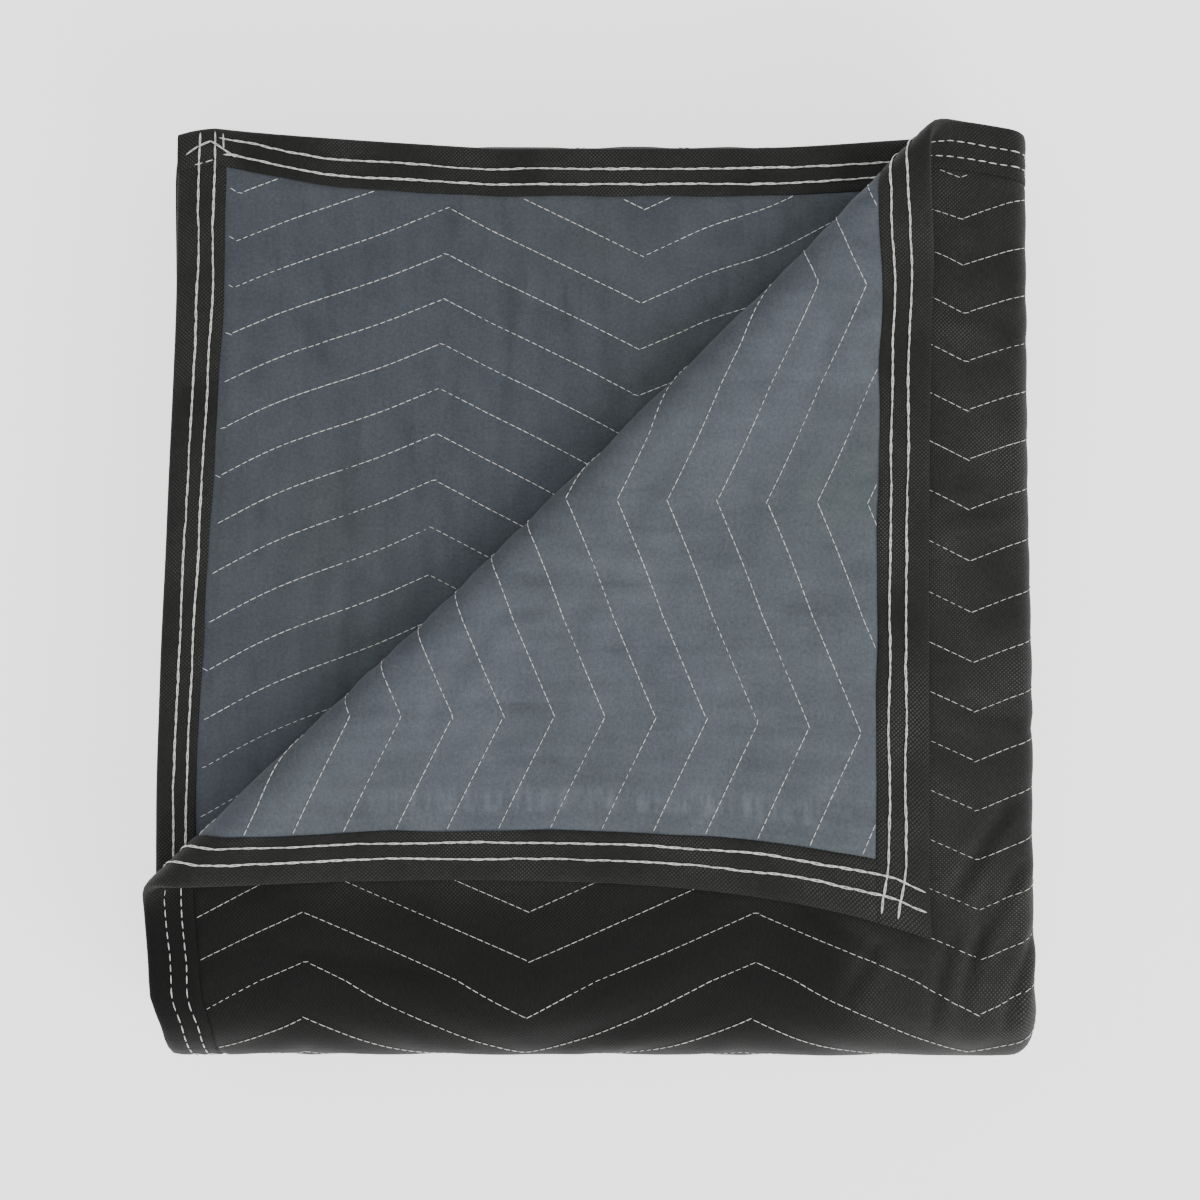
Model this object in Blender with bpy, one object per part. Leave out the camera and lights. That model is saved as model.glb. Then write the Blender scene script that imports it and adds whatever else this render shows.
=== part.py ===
"""Quilted moving blanket, bound on four sides, folded four by four with one corner turned back.

The blanket is drawn flat: x runs across the cloth from its first side edge, -y runs along it from
its first end edge, and z is the height over the middle of the quilt, black face up. Every piece is
scored along the fold lines while it is flat, and is then folded by one and the same rule.
"""

from collections import namedtuple
from math import cos, hypot, pi, sin

import bmesh
import bpy
from mathutils import Vector

# Quilt layers, in metres
PLY_FACE = 0.0026               # middle of the quilt to the outer face of a ply
PLY_BACK = 0.0002               # middle of the quilt to the inner face of a ply
PLY_SEAM = 0.0015               # outer face of a ply where the binding covers it
LAYER_PITCH = 0.0060            # one layer of a pack to the next
PACK_PITCH = 0.0246             # one pack of four layers to the next

# Binding tape, a channel that wraps the edge
BINDING_FACE = 0.0026
BINDING_BACK = 0.0018
BINDING_WIDTH = 0.0270          # edge of the cloth to the inner edge of the tape
BINDING_WALL = 0.0015           # tape outside the edge of the cloth
BINDING_GAP = 0.0007            # room at the bottom of the tape's slot
SEAM_THIN = 0.0276              # edge of the cloth to where a ply starts to thicken again
SEAM_FULL = 0.0282              # edge of the cloth to where it has its full thickness

# Places of the folds; the pack lies with its first edges at the left and at the back
RIGHT_FOLD = 0.2118
LEFT_FOLD = -0.2180
FIRST_SIDE = -0.2275            # side edge of the top layer
LAST_SIDE = -0.2228             # side edge of the second layer
FRONT_FOLD = 0.2030             # places along the pack count towards the front
BACK_FOLD = -0.2180
FIRST_END = -0.2386
LAST_END = -0.2310

# Turned corner
CORNER_REACH = 0.2944           # unturned corner to the fold line, square to it
FOLD_ACROSS = 0.4068            # where the visible fold meets the end edge
FOLD_ALONG = 0.3935             # where it meets the side edge
CORNER_RADIUS = 0.0090
CORNER_SEGMENTS = 6
FLAP_REST = 0.0066              # middle of the flap over the middle of the layer it lies on
FLAP_SETTLE = 0.0700            # stretch over which the flap comes down to rest
FLAP_TIP_ACROSS = 0.0170        # how far the tip is drawn out of square
FLAP_TIP_ALONG = 0.0150
FLAP_DIP = 0.0226
FLAP_SCORES = (0.018, 0.036, 0.053, 0.070, 0.110, 0.150, 0.185, 0.210, 0.230, 0.250)

# Quilting: zigzag seams
QUILT_PITCH = 0.0254
QUILT_SWING = 0.0508            # seam's height from peak to trough
GROOVE_DEPTH = 0.0012
GROOVE_CUTS = (0.0, 0.3, 0.7)   # shares of the pitch at which a quilted face is scored
GROOVE_LINES = range(-3, 22)

# Unevenness of the pile
TAPER = 0.10                    # the pile rises towards its folds, per metre
SLIP_TOP = 0.0156               # second layer's end edge behind the top layer's
SLIP_FADE = 0.4000
CORNER_FLARE = 0.0096           # second layer's corner drawn out past its end edge
FLARE_WIDTH = 0.1300
FLARE_SCORES = (SEAM_FULL, 0.045, 0.065, 0.085, 0.105, 0.130)
TOP_SCORES = (0.130, 0.270, 0.393)

CLOTH_COLLECTION = "moving_blanket"

Bend = namedtuple("Bend", "reach next_level segments")
Step = namedtuple("Step", "begin length reach level heading radius segments")
Drift = namedtuple("Drift", "along left right")
Paint = namedtuple("Paint", "name colour roughness")
Quilt = namedtuple("Quilt", "first_trough column shift")

TOP_LEVEL = 1.5 * LAYER_PITCH
FLOOR_PACK = TOP_LEVEL + PLY_FACE

# Sideways drift of the left and right edges along the cloth
DRIFTS = (
    Drift(along=0.000, left=0.0140, right=0.0000),
    Drift(along=0.393, left=0.0000, right=0.0050),
    Drift(along=0.445, left=0.0030, right=0.0057),
    Drift(along=0.500, left=0.0125, right=0.0057),
    Drift(along=0.560, left=0.0120, right=0.0050),
    Drift(along=0.980, left=0.0050, right=0.0015),
    Drift(along=1.440, left=0.0085, right=0.0045),
    Drift(along=1.950, left=0.0020, right=0.0025),
)

# Quilting of the top layer, counted from its side edge, and of the second layer, from its own
TOP_QUILT = Quilt(first_trough=0.1969, column=0.1143, shift=0.0)
SECOND_QUILT = Quilt(first_trough=0.0330, column=0.1035, shift=0.0068)

BLACK = Paint("outer_black", (0.022, 0.022, 0.021), 0.9)
GREY = Paint("lining_grey", (0.128, 0.145, 0.172), 0.95)
TAPE = Paint("binding_black", (0.016, 0.016, 0.016), 0.85)


def lay_route(start, level, bends, end):
    """List the straight runs and half turns of a folded section, in order along the cloth."""
    steps = []
    begin = 0.0
    reach = start
    heading = 1.0
    for bend in bends:
        run = (bend.reach - reach) * heading
        steps.append(Step(begin, run, reach, level, heading, 0.0, 1))
        begin += run
        radius = (bend.next_level - level) / 2.0
        turn = pi * abs(radius)
        steps.append(Step(begin, turn, bend.reach, level, heading, radius, bend.segments))
        begin += turn
        reach = bend.reach
        level = bend.next_level
        heading = -heading
    steps.append(Step(begin, (end - reach) * heading, reach, level, heading, 0.0, 1))
    return steps


ACROSS = lay_route(
    FIRST_SIDE,
    TOP_LEVEL,
    (
        Bend(reach=RIGHT_FOLD, next_level=-1.5 * LAYER_PITCH, segments=6),
        Bend(reach=LEFT_FOLD, next_level=-0.5 * LAYER_PITCH, segments=4),
        Bend(reach=RIGHT_FOLD, next_level=0.5 * LAYER_PITCH, segments=4),
    ),
    LAST_SIDE,
)
ALONG = lay_route(
    FIRST_END,
    FLOOR_PACK + 3.0 * PACK_PITCH,
    (
        Bend(reach=FRONT_FOLD, next_level=FLOOR_PACK, segments=8),
        Bend(reach=BACK_FOLD, next_level=FLOOR_PACK + PACK_PITCH, segments=4),
        Bend(reach=FRONT_FOLD, next_level=FLOOR_PACK + 2.0 * PACK_PITCH, segments=4),
    ),
    LAST_END,
)
WIDTH = ACROSS[-1].begin + ACROSS[-1].length
LENGTH = ALONG[-1].begin + ALONG[-1].length
TOP_RUN = ACROSS[0].length
FIRST_RUN = ALONG[0].length

FOLD_SLANT = hypot(FOLD_ACROSS, FOLD_ALONG)
FOLD_NORMAL = Vector((FOLD_ALONG / FOLD_SLANT, FOLD_ACROSS / FOLD_SLANT))
HALF_TURN = pi * CORNER_RADIUS
TIP_REACH = CORNER_REACH - HALF_TURN


def follow(distance, depth, route):
    """Give the reach and level of a point that lies a distance along a folded section."""
    step = route[0]
    for candidate in route:
        if distance >= candidate.begin:
            step = candidate
    rest = distance - step.begin
    if step.radius == 0.0:
        return step.reach + step.heading * rest, step.level + step.heading * depth
    sense = 1.0 if step.radius > 0.0 else -1.0
    radius = abs(step.radius) - sense * step.heading * depth
    angle = rest / abs(step.radius)
    reach = step.reach + step.heading * radius * sin(angle)
    return reach, step.level + step.radius - sense * radius * cos(angle)


def ease(share):
    """Rise smoothly from 0 to 1."""
    share = min(max(share, 0.0), 1.0)
    return share * share * (3.0 - 2.0 * share)


def past_fold(across, along):
    """Distance of a flat point past the corner's fold line, towards the corner."""
    return CORNER_REACH - FOLD_NORMAL.x * across - FOLD_NORMAL.y * along


def turn_corner(across, along, depth):
    """Turn the corner of the top layer over its slanting fold."""
    past = past_fold(across, along)
    if past <= 0.0:
        return across, along, depth
    foot = Vector((across, along)) + FOLD_NORMAL * past
    if past < HALF_TURN:
        angle = past / CORNER_RADIUS
        arm = CORNER_RADIUS - depth
        place = foot - FOLD_NORMAL * (arm * sin(angle))
        return place.x, place.y, CORNER_RADIUS - arm * cos(angle)
    flap = past - HALF_TURN
    share = flap / TIP_REACH
    place = foot + FOLD_NORMAL * flap
    place.x += FLAP_TIP_ACROSS * share ** 2
    place.y += FLAP_TIP_ALONG * share ** 6 - FLAP_DIP * share * (1.0 - share)
    height = FLAP_REST + (2.0 * CORNER_RADIUS - FLAP_REST) * (1.0 - ease(flap / FLAP_SETTLE))
    return place.x, place.y, height - depth


def drift_sideways(reach, along):
    """Move a point of the pack sideways with the drift of its edges."""
    after = next((row for row in DRIFTS if row.along >= along), DRIFTS[-1])
    before = DRIFTS[max(DRIFTS.index(after) - 1, 0)]
    span = after.along - before.along
    share = (along - before.along) / span if span > 0.0 else 0.0
    share = min(max(share, 0.0), 1.0)
    left = before.left + (after.left - before.left) * share
    right = before.right + (after.right - before.right) * share
    rightness = (reach - FIRST_SIDE) / (RIGHT_FOLD - FIRST_SIDE)
    return reach + left * (1.0 - rightness) + right * rightness


def slip_along(across, along):
    """Draw the inner layers' first ends back under the top layer's."""
    under = ease((across - TOP_RUN) / (ACROSS[-1].begin - TOP_RUN))
    slip = SLIP_TOP * under
    inside = (WIDTH - across - SEAM_FULL) / (FLARE_WIDTH - SEAM_FULL)
    slip -= CORNER_FLARE * (1.0 - ease(inside))
    return along + slip * max(1.0 - along / SLIP_FADE, 0.0)


def fold_point(flat):
    """Fold one point of the flat blanket into the pile."""
    across, along, depth = turn_corner(flat.x, -flat.y, flat.z)
    along = slip_along(across, along)
    reach, level = follow(across, depth, ACROSS)
    reach = drift_sideways(reach, along)
    front, height = follow(along, level, ALONG)
    return Vector((reach, -front, height * (1.0 + TAPER * (reach + front))))


def quilt_at(across):
    """Give the quilting that holds at a place across, and the distance from its side edge."""
    if across < WIDTH / 2.0:
        return TOP_QUILT, across
    return SECOND_QUILT, WIDTH - across


def zigzag(across):
    """Distance of a seam behind its peaks, at a place across the blanket."""
    quilt, from_side = quilt_at(across)
    columns = abs(from_side - quilt.first_trough) / quilt.column
    return QUILT_SWING * abs(1.0 - columns % 2.0) + quilt.shift


def groove(across, along):
    """Depth of the quilting below a ply's full face."""
    share = ((along - zigzag(across)) / QUILT_PITCH) % 1.0
    return GROOVE_DEPTH * (1.0 - sin(pi * share) ** 0.6)


def edge_distance(across, along):
    """Distance of a flat point from the nearest edge of the blanket."""
    return min(across, WIDTH - across, along, LENGTH - along)


def shows_black(across, along):
    """Tell whether the black face is seen there: right strip, front strip and front roll."""
    beside_flap = across > 0.385 or along > 0.385
    return beside_flap and across < TOP_RUN + 0.0142 and along < FIRST_RUN + 0.0870


def shows_grey(across, along):
    """Tell whether the grey face is seen there: the turned flap and the second layer's corner."""
    flap = past_fold(across, along) > HALF_TURN * 0.35
    second = (WIDTH - across) / 0.445 + along / 0.430 < 1.0
    return flap or second


def cut(mesh, faces, point, normal):
    """Score the given faces along a plane, and return the faces that they become."""
    edges = dict.fromkeys(edge for face in faces for edge in face.edges)
    verts = dict.fromkeys(vert for face in faces for vert in face.verts)
    geometry = [*verts, *edges, *faces]
    result = bmesh.ops.bisect_plane(
        mesh, geom=geometry, dist=1e-6, plane_co=point, plane_no=normal)
    return [item for item in result["geom"] if isinstance(item, bmesh.types.BMFace)]


def bend_scores(route):
    """List the places along a route where a bend starts, ends and is scored."""
    places = []
    for step in route:
        if step.radius != 0.0:
            for segment in range(step.segments + 1):
                places.append(step.begin + step.length * segment / step.segments)
    return places


def in_corner(face):
    """Tell whether a flat face belongs to the top layer of the first pack."""
    centre = face.calc_center_median()
    return centre.x < TOP_RUN and -centre.y < FIRST_RUN


def score_folds(mesh, seams):
    """Score a flat piece along every fold line, and along the given distances from its edges."""
    across_places = bend_scores(ACROSS) + [WIDTH - score for score in FLARE_SCORES]
    along_places = bend_scores(ALONG) + list(TOP_SCORES)
    for seam in seams:
        across_places += [seam, WIDTH - seam]
        along_places += [seam, LENGTH - seam]
    for place in across_places:
        cut(mesh, mesh.faces[:], (place, 0.0, 0.0), (1.0, 0.0, 0.0))
    for place in along_places:
        cut(mesh, mesh.faces[:], (0.0, -place, 0.0), (0.0, 1.0, 0.0))
    past_places = [HALF_TURN * part / CORNER_SEGMENTS for part in range(CORNER_SEGMENTS + 1)]
    past_places += [HALF_TURN + score for score in FLAP_SCORES]
    slant = Vector((FOLD_NORMAL.x, -FOLD_NORMAL.y, 0.0))
    for past in past_places:
        corner = [face for face in mesh.faces if in_corner(face)]
        cut(mesh, corner, slant * (CORNER_REACH - past), slant)


def quilt_columns(quilt, from_last_side):
    """List the places across of a quilting's peaks and troughs, in order."""
    places = [quilt.first_trough + quilt.column * count for count in range(-2, 6)]
    if from_last_side:
        places = [WIDTH - place for place in reversed(places)]
    return places


def faces_shown(mesh, side, shows, left, right):
    """List the faces of a ply's outer side that are seen between two places across."""
    shown = []
    for face in mesh.faces:
        centre = face.calc_center_median()
        inside = edge_distance(centre.x, -centre.y) > SEAM_FULL and left < centre.x < right
        if inside and face.normal.z * side > 0.5 and shows(centre.x, -centre.y):
            shown.append(face)
    return shown


def quilt_face(mesh, side, shows):
    """Score the zigzag seams on one face where it shows, and sink them."""
    for columns in (quilt_columns(TOP_QUILT, False), quilt_columns(SECOND_QUILT, True)):
        for place in columns:
            faces = faces_shown(mesh, side, shows, columns[0], columns[-1])
            if faces:
                cut(mesh, faces, (place, 0.0, 0.0), (1.0, 0.0, 0.0))
        for left, right in zip(columns, columns[1:]):
            faces = faces_shown(mesh, side, shows, left, right)
            start = zigzag(left)
            normal = Vector((zigzag(right) - start, right - left, 0.0)).normalized()
            for line in GROOVE_LINES:
                for share in GROOVE_CUTS:
                    if faces:
                        along = start + (line + share) * QUILT_PITCH
                        faces = cut(mesh, faces, (left, -along, 0.0), normal)
    quilted = dict.fromkeys(
        vert for face in faces_shown(mesh, side, shows, 0.0, WIDTH) for vert in face.verts)
    for vert in quilted:
        vert.co.z -= side * groove(vert.co.x, -vert.co.y)


def finish_piece(name, mesh, paint):
    """Fold a flat piece, and make it an object with its own material."""
    bmesh.ops.triangulate(mesh, faces=mesh.faces[:])
    for vert in mesh.verts:
        vert.co = fold_point(vert.co)
    data = bpy.data.meshes.new(name)
    mesh.to_mesh(data)
    mesh.free()
    piece = bpy.data.objects.new(name, data)
    bpy.data.collections[CLOTH_COLLECTION].objects.link(piece)
    material = bpy.data.materials.new(paint.name + "_of_" + name)
    material.use_nodes = True
    shader = material.node_tree.nodes["Principled BSDF"]
    shader.inputs["Base Color"].default_value = (*paint.colour, 1.0)
    shader.inputs["Roughness"].default_value = paint.roughness
    shader.inputs["Metallic"].default_value = 0.0
    data.materials.append(material)


def make_ply(name, side, shows, paint):
    """Make the black outer panel, side 1, or the grey lining, side -1."""
    mesh = bmesh.new()
    bmesh.ops.create_cube(mesh, size=1.0)
    bmesh.ops.scale(mesh, vec=(WIDTH, LENGTH, PLY_FACE - PLY_BACK), verts=mesh.verts[:])
    middle = (WIDTH / 2.0, -LENGTH / 2.0, side * (PLY_FACE + PLY_BACK) / 2.0)
    bmesh.ops.translate(mesh, vec=middle, verts=mesh.verts[:])
    score_folds(mesh, (SEAM_THIN, SEAM_FULL))
    for vert in mesh.verts:
        seam = edge_distance(vert.co.x, -vert.co.y) < (SEAM_THIN + SEAM_FULL) / 2.0
        if seam and abs(vert.co.z) > PLY_SEAM:
            vert.co.z = side * PLY_SEAM
    quilt_face(mesh, side, shows)
    finish_piece(name, mesh, paint)


def make_binding(name, begin, inward, run, paint):
    """Make one tape: its channel section drawn out flat along an edge of the blanket."""
    section = (
        (-BINDING_WALL, -BINDING_FACE),
        (BINDING_WIDTH, -BINDING_FACE),
        (BINDING_WIDTH, -BINDING_BACK),
        (-BINDING_GAP, -BINDING_BACK),
        (-BINDING_GAP, BINDING_BACK),
        (BINDING_WIDTH, BINDING_BACK),
        (BINDING_WIDTH, BINDING_FACE),
        (-BINDING_WALL, BINDING_FACE),
    )
    mesh = bmesh.new()
    inward = Vector(inward)
    corners = [mesh.verts.new(Vector(begin) + inward * reach + Vector((0.0, 0.0, depth)))
               for reach, depth in section]
    face = mesh.faces.new(corners)
    drawn = bmesh.ops.extrude_face_region(mesh, geom=[face], use_keep_orig=True)["geom"]
    ends = [item for item in drawn if isinstance(item, bmesh.types.BMVert)]
    bmesh.ops.translate(mesh, vec=run, verts=ends)
    bmesh.ops.recalc_face_normals(mesh, faces=mesh.faces[:])
    score_folds(mesh, ())
    finish_piece(name, mesh, paint)


def make_bindings():
    """Bind the two ends over their full width, and the two sides between them."""
    end_run = (WIDTH + 2.0 * BINDING_WALL, 0.0, 0.0)
    make_binding("end_binding_first", (-BINDING_WALL, 0.0, 0.0), (0.0, -1.0, 0.0), end_run, TAPE)
    make_binding("end_binding_last", (-BINDING_WALL, -LENGTH, 0.0), (0.0, 1.0, 0.0), end_run, TAPE)
    inset = BINDING_WIDTH + BINDING_GAP
    side_run = (0.0, 2.0 * inset - LENGTH, 0.0)
    make_binding("side_binding_first", (0.0, -inset, 0.0), (1.0, 0.0, 0.0), side_run, TAPE)
    make_binding("side_binding_last", (WIDTH, -inset, 0.0), (-1.0, 0.0, 0.0), side_run, TAPE)


def clear_file():
    """Remove whatever the file holds, and add the blanket's collection."""
    for item in list(bpy.data.objects):
        bpy.data.objects.remove(item)
    collection = bpy.data.collections.new(CLOTH_COLLECTION)
    bpy.context.scene.collection.children.link(collection)


def build():
    """Make the two plies and the four bindings."""
    clear_file()
    make_ply("outer_panel", 1.0, shows_black, BLACK)
    make_ply("lining_panel", -1.0, shows_grey, GREY)
    make_bindings()


build()
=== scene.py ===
"""Looks of a quilted moving blanket, folded square with one corner turned back to its lining."""

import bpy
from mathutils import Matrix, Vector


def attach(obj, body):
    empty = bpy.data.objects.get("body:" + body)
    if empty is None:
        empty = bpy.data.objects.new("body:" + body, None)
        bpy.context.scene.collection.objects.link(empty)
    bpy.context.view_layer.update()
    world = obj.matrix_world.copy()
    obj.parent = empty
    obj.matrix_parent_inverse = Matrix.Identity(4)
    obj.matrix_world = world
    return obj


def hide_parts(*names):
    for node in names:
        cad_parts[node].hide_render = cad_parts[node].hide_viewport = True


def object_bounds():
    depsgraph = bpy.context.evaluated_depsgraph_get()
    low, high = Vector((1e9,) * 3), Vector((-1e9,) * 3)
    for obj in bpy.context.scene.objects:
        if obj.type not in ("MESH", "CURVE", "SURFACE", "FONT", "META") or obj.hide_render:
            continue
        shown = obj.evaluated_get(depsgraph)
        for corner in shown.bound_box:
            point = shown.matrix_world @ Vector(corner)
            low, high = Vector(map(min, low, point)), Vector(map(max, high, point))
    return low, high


bl_info = {
    "name": "Folded Moving Blanket",
    "version": (1, 0, 0),
    "blender": (4, 5, 0),
    "location": "View3D > Sidebar > Moving Blanket",
    "description": "Builds the cloth, binding and stitching of a folded quilted blanket",
    "category": "Add Mesh",
}

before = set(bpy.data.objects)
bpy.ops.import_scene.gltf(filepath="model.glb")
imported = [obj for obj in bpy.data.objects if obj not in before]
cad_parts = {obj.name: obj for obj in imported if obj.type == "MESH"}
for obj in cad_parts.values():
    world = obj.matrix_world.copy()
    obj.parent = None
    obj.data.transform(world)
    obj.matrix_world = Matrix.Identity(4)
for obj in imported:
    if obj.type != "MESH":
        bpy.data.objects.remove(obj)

from collections import namedtuple
from math import cos, hypot, pi, radians, sin

import bpy
from bpy.props import FloatProperty, FloatVectorProperty, PointerProperty
from mathutils import Vector, noise

FRAME_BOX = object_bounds()
FLOOR_HEIGHT = FRAME_BOX[0][2]
ROOT_BODY = "root"

# Quilt layers and folds, in metres
PLY_FACE = 0.0026
LAYER_PITCH = 0.0060
PACK_PITCH = 0.0246
RIGHT_FOLD = 0.2118
LEFT_FOLD = -0.2180
FIRST_SIDE = -0.2275
LAST_SIDE = -0.2223
FRONT_FOLD = 0.2030
BACK_FOLD = -0.2180
FIRST_END = -0.2386
LAST_END = -0.2262

# Turned corner
CORNER_REACH = 0.2931
FOLD_ACROSS = 0.4030
FOLD_ALONG = 0.3935
CORNER_RADIUS = 0.0090
FLAP_REST = 0.0066
FLAP_SETTLE = 0.0700
FLAP_TIP_ACROSS = 0.0045
FLAP_TIP_ALONG = 0.0175
FLAP_BULGE = 0.0010
FLAP_TUCK = 0.0038
FLAP_DIP = 0.0160
FLAP_LATE_DIP = 0.0240

# Unevenness of the pile
TAPER = 0.10
SLIP_TOP = 0.0143
SLIP_START = 0.3850
SLIP_SPAN = 0.1200
SLIP_FADE = 0.4000
CORNER_FLARE = 0.0108
CORNER_DROOP = 0.0030
FLARE_START = 0.0200
FLARE_WIDTH = 0.1650
FLAP_WAVE = 0.0012
EDGE_WANDER = 0.0006
UNDERSIDE_LIFT = 0.0007
FAR_LAYER_DRAW = 0.0054
SIDE_NARROWING = 0.24

# Faces of the plies: thin rims under the tape, flatter grooves at the left and right folds
THIN_FACE = 0.0014
SEAM_START = 0.0235
SEAM_END = 0.0280
BACK_DEPTH = 0.0003
CREASE_FULL = 0.001
FLAT_GROOVE = 0.45
FOLD_MARGIN = 0.004
BLACK_START = 0.385

# Stitches: how they dive at their ends, rise in the middle and lie on the cloth
STITCH_DIVE = 2.4
STITCH_RISE = 1.0
STITCH_LIFT = 0.00015
SEAM_SAMPLE = 0.0015

# Binding tape and its two rows of stitching
TAPE_COVER = 0.0251
TAPE_LEVEL = 0.0029
CORNER_TAPE_PULL = 0.0063
SIDE_TAPE_START = 0.0125
UNDER_TAPE = (0.0180, 0.0285)
OUTER_STITCH = 0.0105
INNER_STITCH = 0.0187
END_ROW_CLEAR = 0.0035
SIDE_ROW_CLEAR = 0.0015
FIRST_END_ROW_STOPS = (0.0232, 0.0262)
SIDE_ROW_VEER = 0.0022
END_ROW_VEER = 0.0042
CROSSING_LIFT = 0.0003

# Room and floor
FLOOR_GLOW = 1.5
ROOM_LIGHT = 0.62
SENSOR_WIDTH = 36.0
CAMERA_OFFSET = (0.0059, -0.0082)

Bend = namedtuple("Bend", "reach next_level")
Step = namedtuple("Step", "begin length reach level heading radius")
Drift = namedtuple("Drift", "along left right")
Quilt = namedtuple("Quilt", "first_trough column shift")
Crease = namedtuple("Crease", "across along to_across to_along width depth")
Stitch = namedtuple("Stitch", "across along run length width depth side")
TapeEdge = namedtuple("TapeEdge", "name along_end last total")
TapeRow = namedtuple("TapeRow", "edge inset start end")

TOP_LEVEL = 1.5 * LAYER_PITCH
FLOOR_PACK = TOP_LEVEL + PLY_FACE

# Sideways drift of the left and right edges along the cloth: along, left, right
DRIFTS = tuple(Drift(*row) for row in (
    (0.000, 0.0112, 0.0026),
    (0.393, 0.0000, 0.0056),
    (0.445, 0.0030, 0.0066),
    (0.465, 0.0075, 0.0090),
    (0.500, 0.0080, 0.0105),
    (0.560, 0.0090, 0.0070),
    (0.980, 0.0050, 0.0015),
    (1.440, 0.0085, 0.0045),
    (1.950, 0.0105, 0.0025),
))

# Quilting seams, counted from the side edges of the top and the second layer
QUILT_PITCH = 0.0254
QUILT_SWING = 0.0508
TOP_QUILT = Quilt(first_trough=0.1969, column=0.1143, shift=0.0)
SECOND_QUILT = Quilt(first_trough=0.0330, column=0.1035, shift=0.0068)
SECOND_PEAK = 0.1365

# Soft creases, listed in metres across and along the flat cloth
BLACK_CREASES = tuple(Crease(*row) for row in (
    (0.4386, 0.3494, 0.4078, 0.4007, 0.006, 0.0014),
    (0.4437, 0.3802, 0.4181, 0.4315, 0.005, 0.0014),
    (0.4283, 0.3904, 0.4129, 0.4520, 0.005, 0.0012),
    (0.4489, 0.4161, 0.4335, 0.4623, 0.005, 0.0013),
    (0.4080, 0.4180, 0.3960, 0.4640, 0.005, 0.0011),
    (0.3720, 0.4214, 0.3520, 0.4522, 0.006, 0.0010),
    (0.3300, 0.4040, 0.3720, 0.4300, 0.006, 0.0009),
    (0.405, 0.300, 0.456, 0.312, 0.007, 0.0007),
    (0.402, 0.205, 0.450, 0.196, 0.007, 0.0006),
    (0.404, 0.096, 0.452, 0.108, 0.008, 0.0006),
    (0.060, 0.428, 0.150, 0.440, 0.009, 0.0008),
    (0.180, 0.470, 0.300, 0.452, 0.010, 0.0008),
))
GREY_CREASES = tuple(Crease(*row) for row in (
    (1.690, 0.130, 1.683, 0.290, 0.006, 0.0006),
    (1.655, 0.150, 1.640, 0.262, 0.005, 0.0005),
    (1.720, 0.090, 1.700, 0.120, 0.008, 0.0007),
    (1.610, 0.060, 1.604, 0.140, 0.006, 0.0005),
    (1.560, 0.070, 1.548, 0.150, 0.007, 0.0005),
    (0.120, 0.180, 0.230, 0.120, 0.010, 0.0006),
    (0.070, 0.250, 0.140, 0.215, 0.008, 0.0006),
    (0.250, 0.060, 0.300, 0.040, 0.008, 0.0006),
))


def lay_route(start, level, bends, end):
    """List the straight runs and half turns of a folded section, in order along the cloth."""
    steps = []
    begin = 0.0
    reach = start
    heading = 1.0
    for bend in bends:
        run = (bend.reach - reach) * heading
        steps.append(Step(begin, run, reach, level, heading, 0.0))
        begin += run
        radius = (bend.next_level - level) / 2.0
        turn = pi * abs(radius)
        steps.append(Step(begin, turn, bend.reach, level, heading, radius))
        begin += turn
        reach = bend.reach
        level = bend.next_level
        heading = -heading
    steps.append(Step(begin, (end - reach) * heading, reach, level, heading, 0.0))
    return steps


ACROSS = lay_route(
    FIRST_SIDE, TOP_LEVEL, (
        Bend(RIGHT_FOLD, -1.5 * LAYER_PITCH), Bend(LEFT_FOLD, -0.5 * LAYER_PITCH),
        Bend(RIGHT_FOLD, 0.5 * LAYER_PITCH)), LAST_SIDE)
ALONG = lay_route(
    FIRST_END, FLOOR_PACK + 3.0 * PACK_PITCH, (
        Bend(FRONT_FOLD, FLOOR_PACK), Bend(BACK_FOLD, FLOOR_PACK + PACK_PITCH),
        Bend(FRONT_FOLD, FLOOR_PACK + 2.0 * PACK_PITCH)), LAST_END)
WIDTH = ACROSS[-1].begin + ACROSS[-1].length
LENGTH = ALONG[-1].begin + ALONG[-1].length
TOP_RUN = ACROSS[0].length
FOLD_SLANT = hypot(FOLD_ACROSS, FOLD_ALONG)
FOLD_NORMAL = Vector((FOLD_ALONG / FOLD_SLANT, FOLD_ACROSS / FOLD_SLANT))
HALF_TURN = pi * CORNER_RADIUS
TIP_REACH = CORNER_REACH - HALF_TURN


def follow(distance, depth, route):
    """Give the reach and level of a point that lies a distance along a folded section."""
    step = route[0]
    for candidate in route:
        if distance >= candidate.begin:
            step = candidate
    rest = distance - step.begin
    if step.radius == 0.0:
        return step.reach + step.heading * rest, step.level + step.heading * depth
    sense = 1.0 if step.radius > 0.0 else -1.0
    radius = abs(step.radius) - sense * step.heading * depth
    angle = rest / abs(step.radius)
    reach = step.reach + step.heading * radius * sin(angle)
    return reach, step.level + step.radius - sense * radius * cos(angle)


def ease(share):
    """Rise smoothly from 0 to 1."""
    share = min(max(share, 0.0), 1.0)
    return share * share * (3.0 - 2.0 * share)


def ripple(x, y, seed):
    """Soft unevenness from about -1 to 1, the same each time at the same place."""
    return noise.noise(Vector((x, y, seed)))


def ripple_at(place, scale, seed):
    """Soft unevenness at a flat place, in waves of about a metre over the scale."""
    return ripple(place.x * scale, place.y * scale, seed)


def past_fold(across, along):
    """Distance of a flat point past the corner's fold line, towards the corner."""
    return CORNER_REACH - FOLD_NORMAL.x * across - FOLD_NORMAL.y * along


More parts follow.
